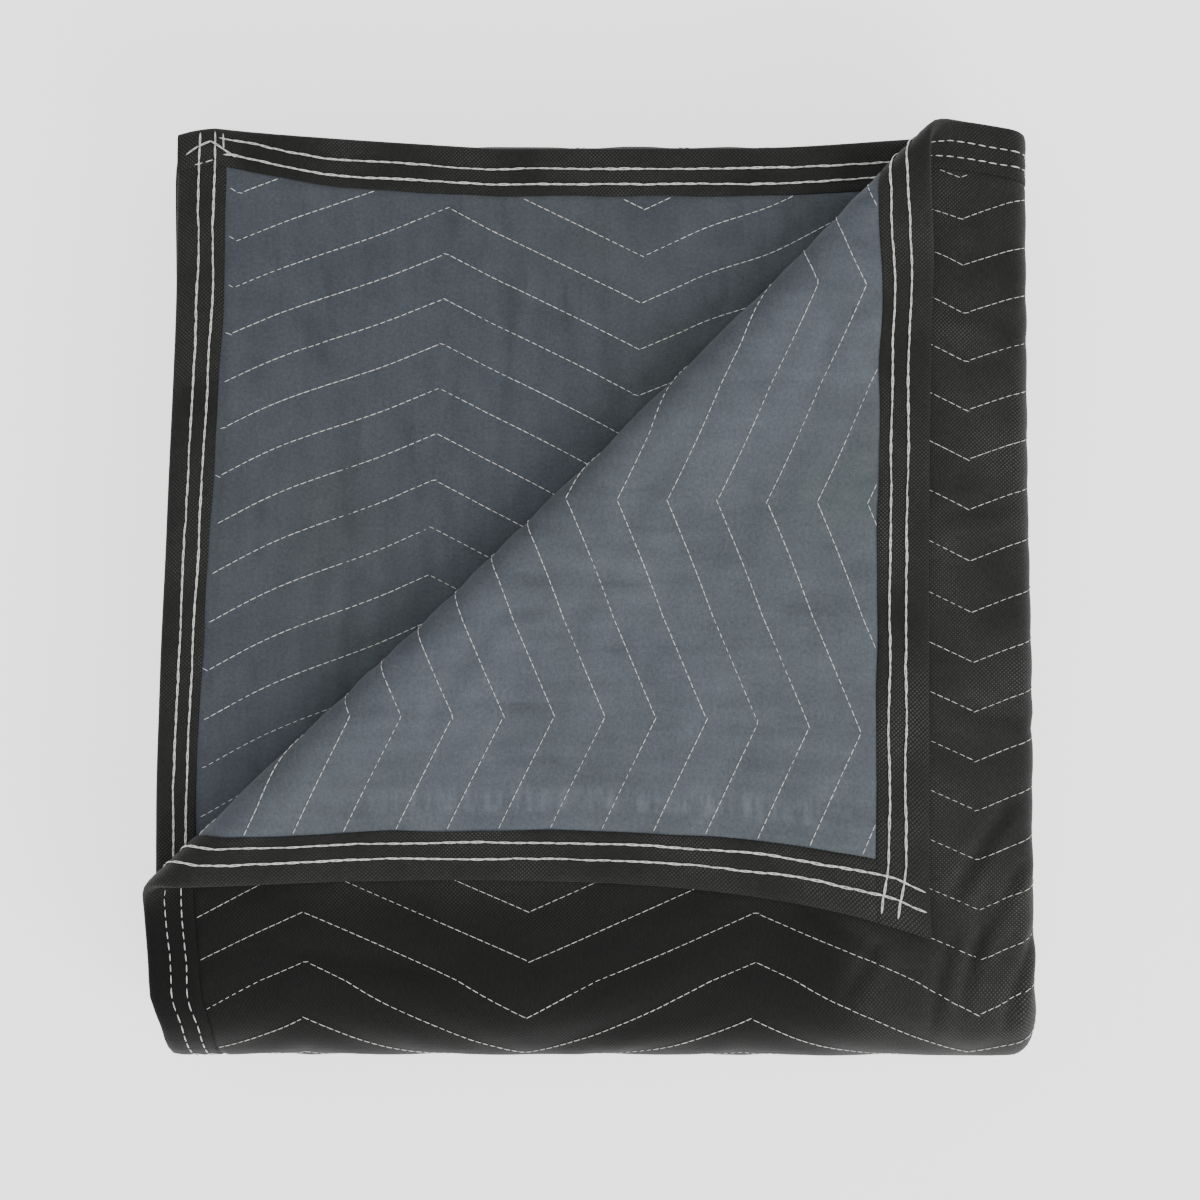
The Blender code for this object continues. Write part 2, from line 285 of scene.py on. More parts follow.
def flap_height(flap, across, along):
    """Height of the flap's middle over the layer below: down from the roll, then softly waved."""
    settled = ease(flap / FLAP_SETTLE)
    wave = 0.5 + 0.5 * ripple(across * 11.0, along * 11.0, 3.7)
    height = FLAP_REST + (2.0 * CORNER_RADIUS - FLAP_REST) * (1.0 - settled)
    return height + FLAP_WAVE * settled * wave


def turn_corner(across, along, depth):
    """Turn the corner of the top layer over its slanting fold."""
    past = past_fold(across, along)
    if past <= 0.0:
        return across, along, depth
    foot = Vector((across, along)) + FOLD_NORMAL * past
    tuck = FLAP_TUCK * ease((past - 0.006) / 0.022) * (1.0 - ease((past - HALF_TURN) / 0.045))
    foot.x -= tuck * (1.0 - ease((along - 0.025) / 0.05))
    if past < HALF_TURN:
        angle = past / CORNER_RADIUS
        arm = CORNER_RADIUS - depth
        place = foot - FOLD_NORMAL * (arm * sin(angle))
        return place.x, place.y, CORNER_RADIUS - arm * cos(angle)
    flap = past - HALF_TURN
    share = flap / TIP_REACH
    height = flap_height(flap, across, along)
    place = foot + FOLD_NORMAL * flap
    dip = (FLAP_DIP + FLAP_LATE_DIP * share) * share * (1.0 - share)
    place.x += FLAP_TIP_ACROSS * share ** 3 + FLAP_BULGE * share * (1.0 - share)
    place.y += FLAP_TIP_ALONG * share ** 5 - dip
    return place.x, place.y, height - depth


def drift_sideways(reach, along):
    """Move a point of the pack sideways with the drift and wander of its edges."""
    after = next((row for row in DRIFTS if row.along >= along), DRIFTS[-1])
    before = DRIFTS[max(DRIFTS.index(after) - 1, 0)]
    span = after.along - before.along
    share = ease((along - before.along) / span) if span > 0.0 else 0.0
    left = before.left + (after.left - before.left) * share
    right = before.right + (after.right - before.right) * share
    rightness = (reach - FIRST_SIDE) / (RIGHT_FOLD - FIRST_SIDE)
    wander = EDGE_WANDER * ripple(reach * 5.0, along * 16.0, 1.3)
    return reach + left * (1.0 - rightness) + right * rightness + wander


def slip_along(across, along):
    """Draw the inner layers' first ends back under the top layer's."""
    slip = SLIP_TOP * ease((across - SLIP_START) / SLIP_SPAN)
    inside = (WIDTH - across - FLARE_START) / (FLARE_WIDTH - FLARE_START)
    slip -= CORNER_FLARE * (1.0 - min(max(inside, 0.0), 1.0) ** 0.8)
    slip += CORNER_DROOP * max(1.0 - (WIDTH - across) / 0.02, 0.0) ** 2
    side = WIDTH - across
    slip -= FAR_LAYER_DRAW * ease((side - 0.30) / 0.12) * (1.0 - ease((side - 0.45) / 0.06))
    return along + slip * max(1.0 - along / SLIP_FADE, 0.0)


def fold_point(across, along, depth):
    """Fold one point of the flat blanket into the pile."""
    across, along, depth = turn_corner(across, along, depth)
    along = slip_along(across, along)
    reach, level = follow(across, depth, ACROSS)
    reach = drift_sideways(reach, along)
    front, height = follow(along, level, ALONG)
    height += UNDERSIDE_LIFT * max(1.0 - height / PACK_PITCH, 0.0)
    return Vector((reach, -front, height * (1.0 + TAPER * (reach + front))))


def top_seams(across, along):
    """Draw of the top layer's seams: distance from the side along the zigzag, and drift."""
    near_fold = ease((across - 0.33) / 0.05)
    lean = 0.0030 - 0.027 * along * ease((0.36 - along) / 0.08)
    lean += 0.0090 * ease((along - 0.42) / 0.07)
    strip_lean = 0.0112 - 0.0170 * min(along, 0.5) + 0.0060 * ease((along - 0.42) / 0.07)
    drift = 0.0070 - 0.0022 * max(1.0 - ((across - 0.197) / 0.06) ** 2, 0.0)
    drift *= ease(1.0 + past_fold(across, along) / 0.045)
    drift -= near_fold * (0.0016 + 0.0026 * ease(along / 0.17) * ease((0.27 - along) / 0.09))
    return across + lean * (1.0 - near_fold) + strip_lean * near_fold, drift


def second_seams(side, along):
    """Draw of the second layer's seams, at a distance from its own side edge."""
    by_tape = 1.0 - ease((side - 0.04) / 0.08)
    fan = 0.0065 * ease((side - 0.05) / 0.07) * (1.0 - min(along / 0.45, 1.0))
    from_side = side + 0.0065 * min(along / 0.35, 1.0) - fan
    from_side -= 0.012 * ease((side - 0.27) / 0.05)
    from_side += 0.0046 * ease(along / 0.17) * by_tape
    reach = 0.112 if side < SECOND_PEAK else 0.13
    near = max(1.0 - ((side - SECOND_PEAK) / reach) ** 2, 0.0)
    drift = -0.0070 * ease((along - 0.02) / 0.17) * near
    return from_side, drift - 0.0042 * ease(along / 0.22) * by_tape


def seam_shift(across, along):
    """Distance of the seams behind their straight rows: the zigzag, and how the cloth drew it."""
    if across < WIDTH / 2.0:
        quilt, (from_side, drift) = TOP_QUILT, top_seams(across, along)
    else:
        quilt, (from_side, drift) = SECOND_QUILT, second_seams(WIDTH - across, along)
    columns = abs(from_side - quilt.first_trough) / quilt.column
    return QUILT_SWING * abs(1.0 - columns % 2.0) + quilt.shift + drift


def seam_along(line, across):
    """Find how far along a seam runs at a place across, from its own number."""
    along = line * QUILT_PITCH
    for _ in range(4):
        along = line * QUILT_PITCH + seam_shift(across, along)
    return along


def edge_distance(across, along):
    """Distance of a flat point from the nearest edge of the blanket."""
    return min(across, WIDTH - across, along, LENGTH - along)


def crease_depth(across, along, creases):
    """Depth of the creases at a flat point: soft troughs that run out at both ends."""
    depth = 0.0
    for crease in creases:
        start = Vector((crease.across, crease.along))
        run = Vector((crease.to_across, crease.to_along)) - start
        offset = Vector((across, along)) - start
        share = offset.dot(run) / run.length_squared
        if -0.2 < share < 1.2:
            aside = abs(offset.x * run.y - offset.y * run.x) / run.length / crease.width
            if aside < 3.0:
                ends = ease(share * 3.0 + 0.4) * ease((1.0 - share) * 3.0 + 0.4)
                ridge = 1.0 - 2.2 * aside * aside
                depth += crease.depth * ends * ridge * 2.718 ** (-aside * aside)
    return depth


def ply_height(across, along, creases):
    """Height of a ply's outer face over the middle of the quilt."""
    sizes = bpy.context.scene.blanket_sizes
    edge = edge_distance(across, along)
    share = ((along - seam_shift(across, along)) / QUILT_PITCH) % 1.0
    pull = 0.75 + 0.5 * ripple(across * 40.0, along * 40.0, 5.1)
    groove = sizes.groove_depth * pull * abs(cos(pi * share)) ** 3
    if TOP_RUN - FOLD_MARGIN < across < TOP_RUN + ACROSS[1].length + FOLD_MARGIN:
        groove *= FLAT_GROOVE
    inside = ease((edge - SEAM_START) / (SEAM_END - SEAM_START))
    swell = sizes.swell * ripple(across * 26.0, along * 26.0, 9.4)
    swell += 0.4 * sizes.swell * ripple(across * 75.0, along * 75.0, 2.2)
    full = PLY_FACE - groove + swell - crease_depth(across, along, creases)
    return THIN_FACE + (full - THIN_FACE) * inside


def route_places(route, run_steps, bend_counts):
    """List even places along a route, up to its end: steps on each run, turns on each bend."""
    places = []
    for index, step in enumerate(route):
        if step.radius == 0.0:
            count = max(1, round(step.length / run_steps[index // 2]))
        else:
            count = bend_counts[index // 2]
        places += [step.begin + step.length * part / count for part in range(count)]
    return places


def stations(route, run_steps, bend_counts, total):
    """List places along a route for a ply, closer together at its rims."""
    rim = (0.0, 0.008, 0.016, 0.0235, 0.0250, 0.0265, 0.0280)
    near = rim[-1] + 0.0012
    places = route_places(route, run_steps, bend_counts)
    places = [place for place in places if near < place < total - near]
    return [*rim, *places, *(total - place for place in reversed(rim))]


def select_none():
    """Clear the selection, which an operator would act on."""
    bpy.ops.object.select_all(action="DESELECT")


def face_outwards():
    """Turn the active piece's faces outwards."""
    bpy.ops.object.mode_set(mode="EDIT")
    bpy.ops.mesh.select_all(action="SELECT")
    bpy.ops.mesh.normals_make_consistent(inside=False)
    bpy.ops.object.mode_set(mode="OBJECT")


def add_grid(name, columns, rows):
    """Add a flat grid with the given numbers of points, and return it with its points in rows."""
    select_none()
    bpy.ops.mesh.primitive_grid_add(
        x_subdivisions=columns - 1, y_subdivisions=rows - 1, size=1.0)
    piece = bpy.context.object
    piece.name = name
    piece.data.name = name
    return piece


def shape_grid(piece, columns, rows, flat_place):
    """Give each grid point its place: flat_place(column, row) is its across, along and depth."""
    mesh = piece.data
    flat_places = []
    for vert in mesh.vertices:
        column = round((vert.co.x + 0.5) * (columns - 1))
        row = round((0.5 - vert.co.y) * (rows - 1))
        flat_places.append(flat_place(column, row))
    for vert, place in zip(mesh.vertices, flat_places):
        vert.co = fold_point(*place)
    layer = mesh.uv_layers.active
    for loop in mesh.loops:
        across, along, _ = flat_places[loop.vertex_index]
        layer.uv[loop.index].vector = (across, -along)


def split_and_thicken(piece, thickness, facing_down):
    """Split the grid's faces along the corner's fold, and give the sheet its thickness."""
    bpy.ops.object.mode_set(mode="EDIT")
    bpy.ops.mesh.select_all(action="SELECT")
    bpy.ops.mesh.quads_convert_to_tris(quad_method="FIXED", ngon_method="BEAUTY")
    if facing_down:
        bpy.ops.mesh.flip_normals()
    bpy.ops.object.mode_set(mode="OBJECT")
    sheet = piece.modifiers.new("Thickness", "SOLIDIFY")
    sheet.thickness = thickness
    sheet.offset = -1.0
    bpy.ops.object.modifier_apply(modifier=sheet.name)
    bpy.ops.object.shade_smooth_by_angle(angle=radians(50.0))


def mark_crease_shade(piece, creases):
    """Mark on each point how deep it lies in a crease, for the painted shade and light of the
    creases.
    """
    mesh = piece.data
    layer = mesh.uv_layers.active
    flat = {}
    for loop in mesh.loops:
        flat[loop.vertex_index] = layer.uv[loop.index].vector
    crease_shade_marks = mesh.attributes.new("crease", "FLOAT", "POINT")
    for index, (across, downwards) in flat.items():
        depth = crease_depth(across, -downwards, creases)
        crease_shade_marks.data[index].value = depth / CREASE_FULL


def make_ply(name, side, creases, across_places, along_places):
    """Make one sheet of the quilt, its outer face drawn in at the seams."""
    columns, rows = len(across_places), len(along_places)
    piece = add_grid(name, columns, rows)

    def place(column, row):
        across, along = across_places[column], along_places[row]
        return across, along, side * ply_height(across, along, creases)

    shape_grid(piece, columns, rows, place)
    mark_crease_shade(piece, creases)
    split_and_thicken(piece, THIN_FACE - BACK_DEPTH, side < 0.0)
    return piece


def wear(piece, material):
    """Put one material on a piece."""
    piece.data.materials.clear()
    piece.data.materials.append(material)


def settle(piece, material, node, slot):
    """Finish a piece, and say what it rides on and stands for; what it is finished as, the slot, is
    not used.
    """
    wear(piece, material)
    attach(piece, ROOT_BODY)
    if node:
        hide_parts(node)


def shader_of(material):
    """Give the shader of a material."""
    return material.node_tree.nodes["Principled BSDF"]


def new_material(name, colour, roughness, sheen):
    """Start a material with the values that are the same all over its surface."""
    material = bpy.data.materials.new(name)
    material.use_nodes = True
    shader = shader_of(material)
    shader.inputs["Base Color"].default_value = (*colour, 1.0)
    shader.inputs["Roughness"].default_value = roughness
    shader.inputs["Sheen Weight"].default_value = sheen
    shader.inputs["Specular IOR Level"].default_value = 0.25
    return material


def add_node(material, kind, **values):
    """Add a node to a material and set its properties and unlinked sockets."""
    node = material.node_tree.nodes.new(kind)
    for key, value in values.items():
        if hasattr(node, key):
            setattr(node, key, value)
        else:
            node.inputs[key.replace("_", " ").title()].default_value = value
    return node


def link(material, source, target):
    """Join two sockets of a material."""
    material.node_tree.links.new(source, target)


def on_cloth(material, kind, **values):
    """Add a node that reads the cloth's own coordinates, in metres."""
    node = add_node(material, kind, **values)
    link(material, add_node(material, "ShaderNodeTexCoord").outputs["UV"], node.inputs[0])
    return node


def uv_noise(material, scale, detail, stretch=(1.0, 1.0, 1.0)):
    """Noise on the cloth's own coordinates, in cycles a metre."""
    mapping = on_cloth(material, "ShaderNodeMapping", scale=stretch)
    texture = add_node(material, "ShaderNodeTexNoise", scale=scale, detail=detail)
    link(material, mapping.outputs["Vector"], texture.inputs["Vector"])
    return texture.outputs["Fac"]


def arithmetic(material, operation, first, second):
    """Combine two values, each a socket or a number."""
    node = add_node(material, "ShaderNodeMath", operation=operation)
    for index, value in enumerate((first, second)):
        if isinstance(value, (int, float)):
            node.inputs[index].default_value = value
        else:
            link(material, value, node.inputs[index])
    return node.outputs["Value"]


def product(material, first, *factors):
    """Multiply values, each a socket or a number."""
    for factor in factors:
        first = arithmetic(material, "MULTIPLY", first, factor)
    return first


def larger(material, first, second):
    """Take the larger of two values, each a socket or a number."""
    return arithmetic(material, "MAXIMUM", first, second)


def emboss(material, pitch):
    """Diamond grid of embossed dots, 0 between the dots and 1 on them."""
    turns = 2.0 * pi / pitch
    scaled = on_cloth(material, "ShaderNodeMapping", scale=(turns, turns, 1.0))
    parts = add_node(material, "ShaderNodeSeparateXYZ")
    link(material, scaled.outputs["Vector"], parts.inputs["Vector"])
    waves = [arithmetic(material, "COSINE", parts.outputs[axis], 0.0) for axis in ("X", "Y")]
    return larger(material, product(material, *waves), 0.0)


def blend_colours(material, share, first, second):
    """Mix two colours by a share, given as a socket."""
    mix = add_node(material, "ShaderNodeMix", data_type="RGBA")
    mix.inputs[6].default_value = (*first, 1.0)
    mix.inputs[7].default_value = (*second, 1.0)
    link(material, share, mix.inputs[0])
    return mix.outputs[2]


def scale_colour(material, colour, factor):
    """Multiply a colour by a value."""
    node = add_node(material, "ShaderNodeVectorMath", operation="SCALE")
    link(material, colour, node.inputs[0])
    link(material, factor, node.inputs["Scale"])
    return node.outputs["Vector"]


def map_range(material, value, start, end, low, high, kind="LINEAR"):
    """Stretch a value from start and end onto low and high, and hold it there beyond them."""
    node = add_node(
        material, "ShaderNodeMapRange", interpolation_type=kind,
        from_min=start, from_max=end, to_min=low, to_max=high)
    link(material, value, node.inputs["Value"])
    return node.outputs["Result"]


def spread(material, value, low, high):
    """Stretch a noise value from about 0.3 to 0.7 onto low to high."""
    return map_range(material, value, 0.3, 0.7, low, high)


def add_bump(material, height, distance):
    """Bump the shader's normal with a height between 0 and 1."""
    bump = add_node(material, "ShaderNodeBump", distance=distance, strength=1.0)
    link(material, height, bump.inputs["Height"])
    link(material, bump.outputs["Normal"], shader_of(material).inputs["Normal"])


def region_shade(material, axis, start, end, low, high):
    """Shade the cloth by its own coordinate, from low before the start to high after the end."""
    parts = on_cloth(material, "ShaderNodeSeparateXYZ")
    return map_range(material, parts.outputs[axis], start, end, low, high, "SMOOTHSTEP")


def crease_shade(material, strength):
    """Paint shade in the creases' troughs and paint light on their shoulders."""
    marks = add_node(material, "ShaderNodeAttribute", attribute_name="crease")
    return arithmetic(material, "SUBTRACT", 1.0, product(material, marks.outputs["Fac"], strength))


def spunbond(name, colour):
    """Black nonwoven cloth: a grid of embossed dots with a painted glint in patches, cloudy tone,
    and painted shade towards the front end and in the creases.
    """
    looks = bpy.context.scene.blanket_looks
    material = new_material(name, colour, 0.72, 0.06)
    shader = shader_of(material)
    shader.inputs["Specular IOR Level"].default_value = 0.15
    dots = emboss(material, looks.dot_pitch)
    clouds = uv_noise(material, 38.0, 5.0)
    patches = uv_noise(material, 17.0, 3.0)
    fibres = uv_noise(material, 900.0, 3.0, (1.0, 0.35, 1.0))
    # Painted glint: the embossed dots are lightened in patches, more weakly towards the front end,
    # but fully near the right fold.
    corner = region_shade(material, "X", 0.30, 0.39, 0.0, 0.95)
    lit = larger(material, corner, region_shade(material, "Y", -0.43, -0.39, 0.25, 1.0))
    glint = product(material, larger(material, spread(material, patches, -0.15, 1.15), 0.0), lit)
    lighter = tuple(channel * 3.8 + 0.014 for channel in colour)
    base = blend_colours(material, product(material, dots, glint), colour, lighter)
    # Painted shade: darker towards the front end, except near the right fold, and darker still over
    # the front roll; painted shade in the creases' troughs and painted light on their shoulders.
    painted_shade = product(
        material, larger(material, corner, region_shade(material, "Y", -0.41, -0.37, 0.47, 1.05)),
        region_shade(material, "Y", -0.50, -0.44, 0.70, 1.0), crease_shade(material, 0.24))
    shade = product(
        material, spread(material, clouds, 0.84, 1.16), painted_shade, spread(material, fibres, 0.8, 1.2))
    link(material, scale_colour(material, base, shade), shader.inputs["Base Color"])
    link(material, spread(material, clouds, 0.66, 0.80), shader.inputs["Roughness"])
    height = arithmetic(material, "MULTIPLY_ADD", fibres, 0.35)
    link(material, product(material, dots, -1.0), height.node.inputs[2])
    add_bump(material, height, 0.00012)
    return material


def pale_row(material):
    """Row of faint pale streaks in the lining beside the first side's binding."""
    streaks = uv_noise(material, 210.0, 3.0, (0.22, 1.0, 1.0))
    row = product(
        material, region_shade(material, "X", 0.033, 0.037, 0.0, 1.0),
        region_shade(material, "X", 0.042, 0.050, 1.0, 0.0))
    length = product(
        material, region_shade(material, "Y", -0.30, -0.24, 0.0, 1.0),
        region_shade(material, "Y", -0.06, -0.05, 1.0, 0.0))
    bright = larger(material, spread(material, streaks, -0.18, 0.42), 0.0)
    return product(material, row, length, bright)


def fold_shade(material, low):
    """Paint shade on the lining where it comes round the corner's fold; the lining that is not
    turned back, the second layer beside the flap too, stays as dark.
    """
    towards = on_cloth(material, "ShaderNodeVectorMath", operation="DOT_PRODUCT")
    towards.inputs[1].default_value = (FOLD_NORMAL.x, -FOLD_NORMAL.y, 0.0)
    start, end = CORNER_REACH - 0.042, CORNER_REACH - 0.014
    return map_range(material, towards.outputs["Value"], start, end, 1.0, low, "SMOOTHSTEP")


def felted(name, colour):
    """Blue-grey felted lining: fine short fibres, cloudy mottles, faint lengthwise streaks."""
    material = new_material(name, colour, 0.95, 0.12)
    clouds = uv_noise(material, 24.0, 6.0)
    tint = uv_noise(material, 7.0, 3.0)
    grain = uv_noise(material, 1300.0, 4.0)
    streaks = uv_noise(material, 120.0, 4.0, (1.0, 0.12, 1.0))
    fibre = uv_noise(material, 520.0, 3.0)
    blotches = uv_noise(material, 75.0, 3.0)
    marks = uv_noise(material, 62.0, 2.0, (1.0, 0.30, 1.0))
    cool = tuple(channel * gain for channel, gain in zip(colour, (1.00, 1.00, 1.04)))
    warm = tuple(channel * gain for channel, gain in zip(colour, (0.97, 1.00, 0.93)))
    base = blend_colours(material, spread(material, tint, 0.0, 1.0), cool, warm)
    # Painted shade round the corner's fold, with the lining that is not turned back as dark,
    # slightly darker towards the far side, and painted shade in the creases' troughs with painted
    # light on their shoulders; the rest is the felt's own mottled tone.
    shade = product(
        material, spread(material, clouds, 0.90, 1.10), spread(material, grain, 0.84, 1.16),
        spread(material, streaks, 0.93, 1.07), spread(material, fibre, 0.87, 1.13),
        spread(material, blotches, 0.94, 1.06), map_range(material, marks, 0.60, 0.74, 1.0, 0.84),
        fold_shade(material, 0.70), region_shade(material, "X", 0.9, 1.3, 1.0, 0.97),
        crease_shade(material, 0.16))
    shade = arithmetic(material, "ADD", shade, pale_row(material))
    colour_in = shader_of(material).inputs["Base Color"]
    link(material, scale_colour(material, base, shade), colour_in)
    height = arithmetic(material, "MULTIPLY_ADD", grain, 0.8)
    link(material, clouds, height.node.inputs[2])
    add_bump(material, height, 0.00035)
    return material


def thread_finish(name, colour):
    """Off-white spun thread, slightly dirtied along its length."""
    material = new_material(name, colour, 0.7, 0.2)
    shader = shader_of(material)
    coordinates = add_node(material, "ShaderNodeTexCoord")
    texture = add_node(material, "ShaderNodeTexNoise", scale=160.0)
    link(material, coordinates.outputs["Object"], texture.inputs["Vector"])
    base = add_node(material, "ShaderNodeRGB")
    base.outputs[0].default_value = (*colour, 1.0)
    shade = spread(material, texture.outputs["Fac"], 0.78, 1.08)
    link(material, scale_colour(material, base.outputs[0], shade), shader.inputs["Base Color"])
    return material


def copied_shape(piece):
    """Take the points and faces of a modelled piece, the faces in a fixed order, and delete it."""
    mesh = piece.data
    points = [vert.co.copy() for vert in mesh.vertices]
    faces = sorted(tuple(face.vertices) for face in mesh.polygons)
    bpy.data.objects.remove(piece)
    bpy.data.meshes.remove(mesh)
    return points, faces


def stitch_shape():
    """Model one stitch, a short rod with tapered ends, one unit long and wide."""
    select_none()
    bpy.ops.mesh.primitive_uv_sphere_add(
        segments=5, ring_count=4, radius=0.5, rotation=(0.0, radians(90.0), 0.0))
    bpy.ops.object.transform_apply(rotation=True)
    return copied_shape(bpy.context.object)


def link_shape():
    """Model one chain stitch, a long closed loop of thread, one unit long and wide."""
    select_none()
    bpy.ops.mesh.primitive_torus_add(
        major_segments=10, minor_segments=4, major_radius=0.30, minor_radius=0.20)
    return copied_shape(bpy.context.object)


def sew(name, stitches, shape):
    """Make one piece of many stitches, each folded with the cloth that it lies on."""
    points, faces = shape
    verts = []
    polygons = []
    for stitch in stitches:
        first = len(verts)
        lengthwise = Vector(stitch.run).normalized()
        sideways = Vector((-lengthwise.y, lengthwise.x))
        for point in points:
            offset = lengthwise * (point.x * stitch.length) + sideways * (point.y * stitch.width)
            dive = abs(point.x) ** 3 * STITCH_DIVE
            depth = stitch.depth + stitch.side * stitch.width * (point.z * STITCH_RISE - dive)
            place = fold_point(stitch.across + offset.x, stitch.along + offset.y, depth)
            verts.append(place)
        polygons += [tuple(first + index for index in face) for face in faces]
    mesh = bpy.data.meshes.new(name)
    mesh.from_pydata(verts, [], polygons)
    mesh.update()
    piece = bpy.data.objects.new(name, mesh)
    bpy.context.scene.collection.objects.link(piece)
    select_none()
    piece.select_set(True)
    bpy.context.view_layer.objects.active = piece
    face_outwards()
    bpy.ops.object.shade_smooth()
    return piece


def bend_span(route, index):
    """Give the start and end of a route's bend."""
    step = route[2 * index + 1]
    return step.begin, step.begin + step.length


def black_seen(across, along):
    """Tell whether the black face shows from outside there."""
    left_low, left_high = bend_span(ACROSS, 1)
    if left_low - FOLD_MARGIN < across < left_high + FOLD_MARGIN:
        return True
    if across > TOP_RUN + 0.045:
        return False
    if across > BLACK_START:
        return True
    return BLACK_START < along < bend_span(ALONG, 1)[1]


def grey_seen(across, along):
    """Tell whether the grey face shows there: the flap, and the second layer beside it."""
    if past_fold(across, along) > HALF_TURN * 0.25:
        return True
    return (WIDTH - across) / 0.450 + along / 0.435 < 1.0


def side_narrowing(along):
    """Share of its width that the second layer's side tape shows, on its way to the front."""
    return 1.0 - SIDE_NARROWING * ease(along / 0.42) * (1.0 - ease((along - 0.45) / 0.10))


def near_second_corner(across):
    """Rise from 0 to 1 along the first end, towards the second layer's corner."""
    return 1.0 - ease((WIDTH - across - 0.018) / 0.068)


def in_field(across, along):
    """Tell whether a flat point lies clear of the tapes."""
    first_end = along > TAPE_COVER - CORNER_TAPE_PULL * near_second_corner(across)
    last_side = WIDTH - across > TAPE_COVER * side_narrowing(along)
    return first_end and last_side and min(across, LENGTH - along) > TAPE_COVER


def seam_path(line, seen):
    """List the flat places along one seam where it shows, in unbroken stretches."""
    stretches = []
    stretch = []
    for part in range(round(WIDTH / SEAM_SAMPLE) + 1):
        across = min(part * SEAM_SAMPLE, WIDTH)
        along = seam_along(line, across)
        if in_field(across, along) and seen(across, along):
            stretch.append(Vector((across, along)))
        elif stretch:
            stretches.append(stretch)
            stretch = []
    if stretch:
        stretches.append(stretch)
    return [stretch for stretch in stretches if len(stretch) > 2]


def walk(stretch, pitch):
    """Give the middle and direction of each step of a pitch along a path of flat places."""
    travelled = 0.0
    target = pitch / 2.0
    for start, end in zip(stretch, stretch[1:]):
        length = (end - start).length
        while travelled + length >= target:
            share = (target - travelled) / length
            yield start.lerp(end, share), end - start
            target += pitch
        travelled += length


def quilt_stitches(side, seen, creases):
    """List the stitches of the zigzag seams on one face of the blanket, where it shows."""
    thread = bpy.context.scene.blanket_thread
    stitches = []
    for line in range(-3, round(LENGTH / QUILT_PITCH) + 1):
        for stretch in seam_path(line, seen):
            for place, run in walk(stretch, thread.quilt_pitch):
                jitter = ripple_at(place, 330.0, 7.0 + side)
                faint = ripple(place.x * 14.0, place.y * 21.0, 4.0 + side)
                thin = 0.80 if faint < -0.22 else 1.0
                tight = ripple(line * 3.1, place.x * 4.0, side)
                length = thread.quilt_length * thin * (1.0 + 0.20 * jitter + 0.25 * max(tight, 0.0))
                width = thread.quilt_width * thin * (1.0 + 0.2 * jitter) * (0.92 + 0.08 * -side)
                level = ply_height(place.x, place.y, creases) + 0.25 * width + STITCH_LIFT
                depth = side * level
                stitches.append(Stitch(place.x, place.y, tuple(run), length, width, depth, side))
    return stitches


class BlanketSizes(bpy.types.PropertyGroup):
    """Sizes of the quilted cloth."""

    groove_depth: FloatProperty(
        name="Groove Depth", description="Depth to which the seams draw the cloth in",
        default=0.0011, min=0.0, max=0.002, unit="LENGTH", precision=4)
    swell: FloatProperty(
        name="Swell", description="Height of the soft unevenness between the seams",
        default=0.0005, min=0.0, max=0.002, unit="LENGTH", precision=4)
    tape_width: FloatProperty(
        name="Tape Width", description="Width of the binding on each face of the blanket",
        default=0.0248, min=0.015, max=0.03, unit="LENGTH", precision=4)
    tape_thickness: FloatProperty(
        name="Tape Thickness", description="Thickness of the binding tape",
        default=0.0004, min=0.0002, max=0.001, unit="LENGTH", precision=4)


class BlanketThread(bpy.types.PropertyGroup):
    """Sizes of the stitching."""

    quilt_pitch: FloatProperty(
        name="Quilting Stitch Pitch", description="One quilting stitch to the next",
        default=0.0040, min=0.002, max=0.01, unit="LENGTH", precision=4)
    quilt_length: FloatProperty(
        name="Quilting Stitch Length", description="Length of thread that shows in each stitch",
        default=0.0036, min=0.001, max=0.01, unit="LENGTH", precision=4)
    quilt_width: FloatProperty(
        name="Quilting Thread Width", description="Width of the quilting thread",
        default=0.00048, min=0.0002, max=0.002, unit="LENGTH", precision=5)
    chain_pitch: FloatProperty(
        name="Chain Stitch Pitch", description="One looped binding stitch to the next",
        default=0.0070, min=0.002, max=0.01, unit="LENGTH", precision=4)
    chain_width: FloatProperty(
        name="Chain Stitch Width", description="Width of a looped binding stitch",
        default=0.0012, min=0.0002, max=0.003, unit="LENGTH", precision=4)
    plain_pitch: FloatProperty(
        name="Plain Stitch Pitch", description="One binding stitch to the next, from outside",
        default=0.0056, min=0.002, max=0.01, unit="LENGTH", precision=4)
    plain_width: FloatProperty(
        name="Plain Stitch Width", description="Width of the binding thread, from outside",
        default=0.0007, min=0.0002, max=0.002, unit="LENGTH", precision=4)


class BlanketLooks(bpy.types.PropertyGroup):
    """Colours and grain of the finishes."""

    black: FloatVectorProperty(
        name="Outer Black", description="Colour of the outer cloth", subtype="COLOR",
        default=(0.0208, 0.0208, 0.0196), min=0.0, max=1.0)
    tape: FloatVectorProperty(
        name="Binding Black", description="Colour of the binding tape", subtype="COLOR",
        default=(0.0172, 0.0172, 0.0164), min=0.0, max=1.0)
    grey: FloatVectorProperty(
        name="Lining Grey", description="Colour of the lining", subtype="COLOR",
        default=(0.110, 0.123, 0.144), min=0.0, max=1.0)
    thread: FloatVectorProperty(
        name="Thread", description="Colour of the thread", subtype="COLOR",
        default=(0.88, 0.88, 0.84), min=0.0, max=1.0)
    dot_pitch: FloatProperty(
        name="Dot Pitch", description="Spacing of the embossed dots",
        default=0.00203, min=0.0005, max=0.005, unit="LENGTH", precision=5)


